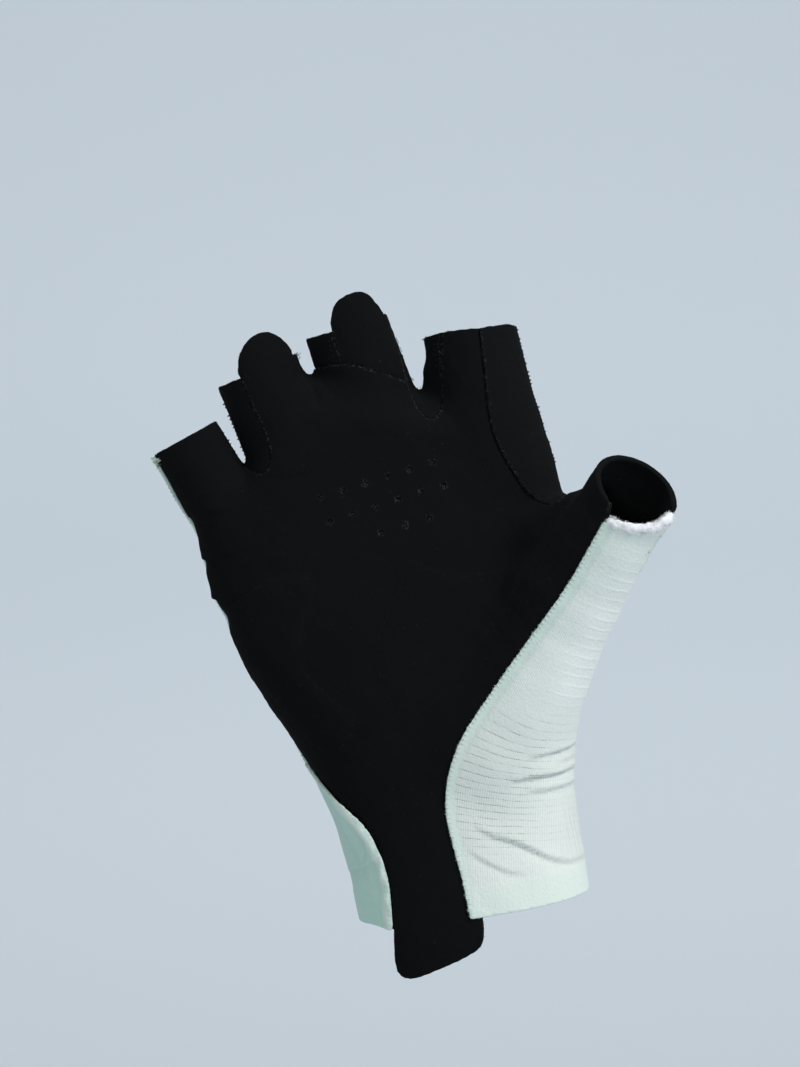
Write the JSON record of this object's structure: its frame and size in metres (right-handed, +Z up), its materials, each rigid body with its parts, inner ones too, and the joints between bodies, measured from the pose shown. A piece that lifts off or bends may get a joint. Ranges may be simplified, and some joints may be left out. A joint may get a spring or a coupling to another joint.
{
  "type": "cycling glove",
  "caption": "Short-finger cycling mitt for the right side in its worn form, with suede palm, finger gussets, knitted upper, pull tabs and a rolled thumb hem.",
  "frame": {"origin": "middle of the wrist opening", "axes": "+Z up through the finger stalls, +X towards the thumb, the palm faces -Y"},
  "size_m": [0.1302, 0.0572, 0.1674],
  "materials": {
    "palm_suede": "matt microsuede",
    "side_suede": "matt microsuede",
    "gusset_cloth": "matt stretch cloth",
    "mint_knit": "matt fine mesh knit",
    "hem_pile": "fluffy pile"
  },
  "bodies": {
    "root": {"palm_panel": "palm_suede", "middle_finger_front": "palm_suede", "index_side_panel": "side_suede", "gusset_little_ring": "gusset_cloth", "gusset_ring_middle": "gusset_cloth", "gusset_middle_index": "gusset_cloth", "knit_upper": "mint_knit", "thumb_hem": "hem_pile"}
  },
  "joints": []
}
